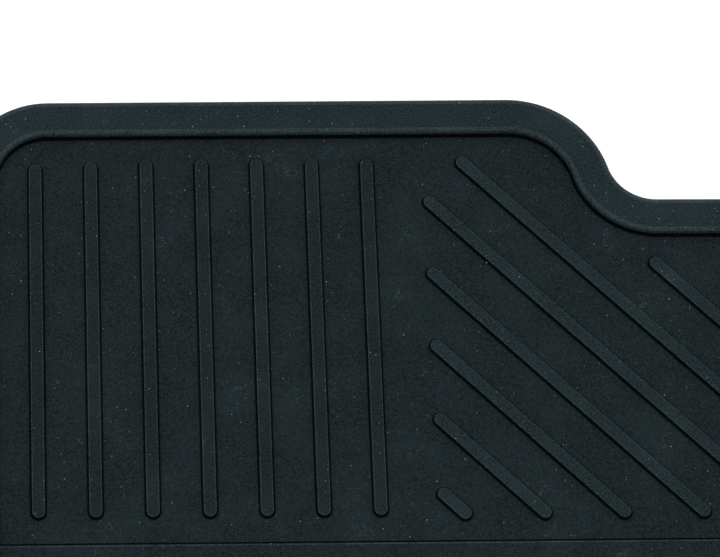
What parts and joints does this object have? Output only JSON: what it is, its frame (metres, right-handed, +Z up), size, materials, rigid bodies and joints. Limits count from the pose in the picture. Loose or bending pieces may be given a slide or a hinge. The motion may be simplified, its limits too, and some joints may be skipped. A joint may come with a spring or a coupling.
{
  "type": "floor mat set",
  "caption": "Black moulded rubber truck floor mats with raised rims and ribs; front mats flex at the toe and carry anchor grommets.",
  "frame": {"origin": "on the floor under the middle of the whole set's bounding box", "axes": "+Z up, +Y towards the front of the vehicle, +X to the vehicle's right as seen from above facing forward; X = 0 is the mirror plane between the right and left mats"},
  "size_m": [0.976, 1.1052, 0.0088],
  "materials": {
    "black_rubber": "moulded black rubber, matte, with a fine sparked grain and pale dust specks",
    "black_plastic": "moulded black nylon, fine satin texture"
  },
  "bodies": {
    "front_right_mat": {"front_right_main_section": "black_rubber", "front_right_inner_grommet_top": "black_plastic", "front_right_inner_grommet_base": "black_plastic", "front_right_outer_grommet_top": "black_plastic", "front_right_outer_grommet_base": "black_plastic"},
    "front_right_toe": {"front_right_toe_section": "black_rubber"},
    "rear_right": {"rear_right_mat": "black_rubber"},
    "front_left_mat": {"front_left_main_section": "black_rubber", "front_left_inner_grommet_top": "black_plastic", "front_left_inner_grommet_base": "black_plastic", "front_left_outer_grommet_top": "black_plastic", "front_left_outer_grommet_base": "black_plastic"},
    "front_left_toe": {"front_left_toe_section": "black_rubber"},
    "rear_left": {"rear_left_mat": "black_rubber"}
  },
  "joints": [
    {"name": "front_left_mat_lift", "type": "slide", "parent": "front_right_mat", "child": "front_left_mat", "axis": [0, 0, 1], "range_m": [0, 0.15]},
    {"name": "front_right_toe_flex", "type": "hinge", "parent": "front_right_mat", "child": "front_right_toe", "pos_m": [0.248, 0.33845, 0], "axis": [1, 0, 0], "range_deg": [0, 30], "stiffness_Nm_per_rad": 0.4},
    {"name": "front_left_toe_flex", "type": "hinge", "parent": "front_left_mat", "child": "front_left_toe", "pos_m": [-0.248, 0.33845, 0], "axis": [1, 0, 0], "range_deg": [0, 30], "stiffness_Nm_per_rad": 0.4},
    {"name": "rear_right_mat_lift", "type": "slide", "parent": "front_right_mat", "child": "rear_right", "axis": [0, 0, 1], "range_m": [0, 0.15]},
    {"name": "rear_left_mat_lift", "type": "slide", "parent": "front_right_mat", "child": "rear_left", "axis": [0, 0, 1], "range_m": [0, 0.15]}
  ]
}
